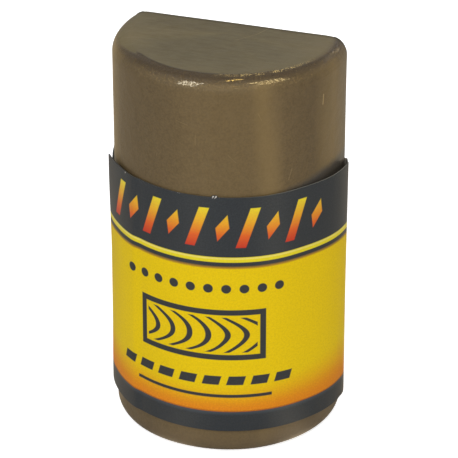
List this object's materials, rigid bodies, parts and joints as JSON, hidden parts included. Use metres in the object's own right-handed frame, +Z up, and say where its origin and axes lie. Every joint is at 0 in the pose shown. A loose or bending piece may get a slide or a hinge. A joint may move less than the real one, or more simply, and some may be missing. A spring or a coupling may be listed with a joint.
{
  "type": "furniture repair wax stick",
  "caption": "D-section block of soft filler wax with rounded ends, in a loose printed paper band that slides along it.",
  "frame": {"origin": "foot of the stick, on the axis of its round front", "axes": "+Z up along the stick, -Y out of the round front, +Y out of the flat back, +X to the right of the front"},
  "size_m": [0.0298, 0.0183, 0.0508],
  "materials": {
    "wax": "satin brown soft wax, slightly translucent, with a faint mottle",
    "printed_paper": "coated paper printed in black, yellow and orange, satin",
    "glue": "dried clear paper glue"
  },
  "bodies": {
    "stick": {"wax_stick": "wax"},
    "band": {"label_sleeve": "printed_paper", "seam_glue": "glue"}
  },
  "joints": [
    {"name": "band_slide", "type": "slide", "parent": "stick", "child": "band", "axis": [0, 0, 1], "range_m": [-0.003, 0.0149]}
  ]
}
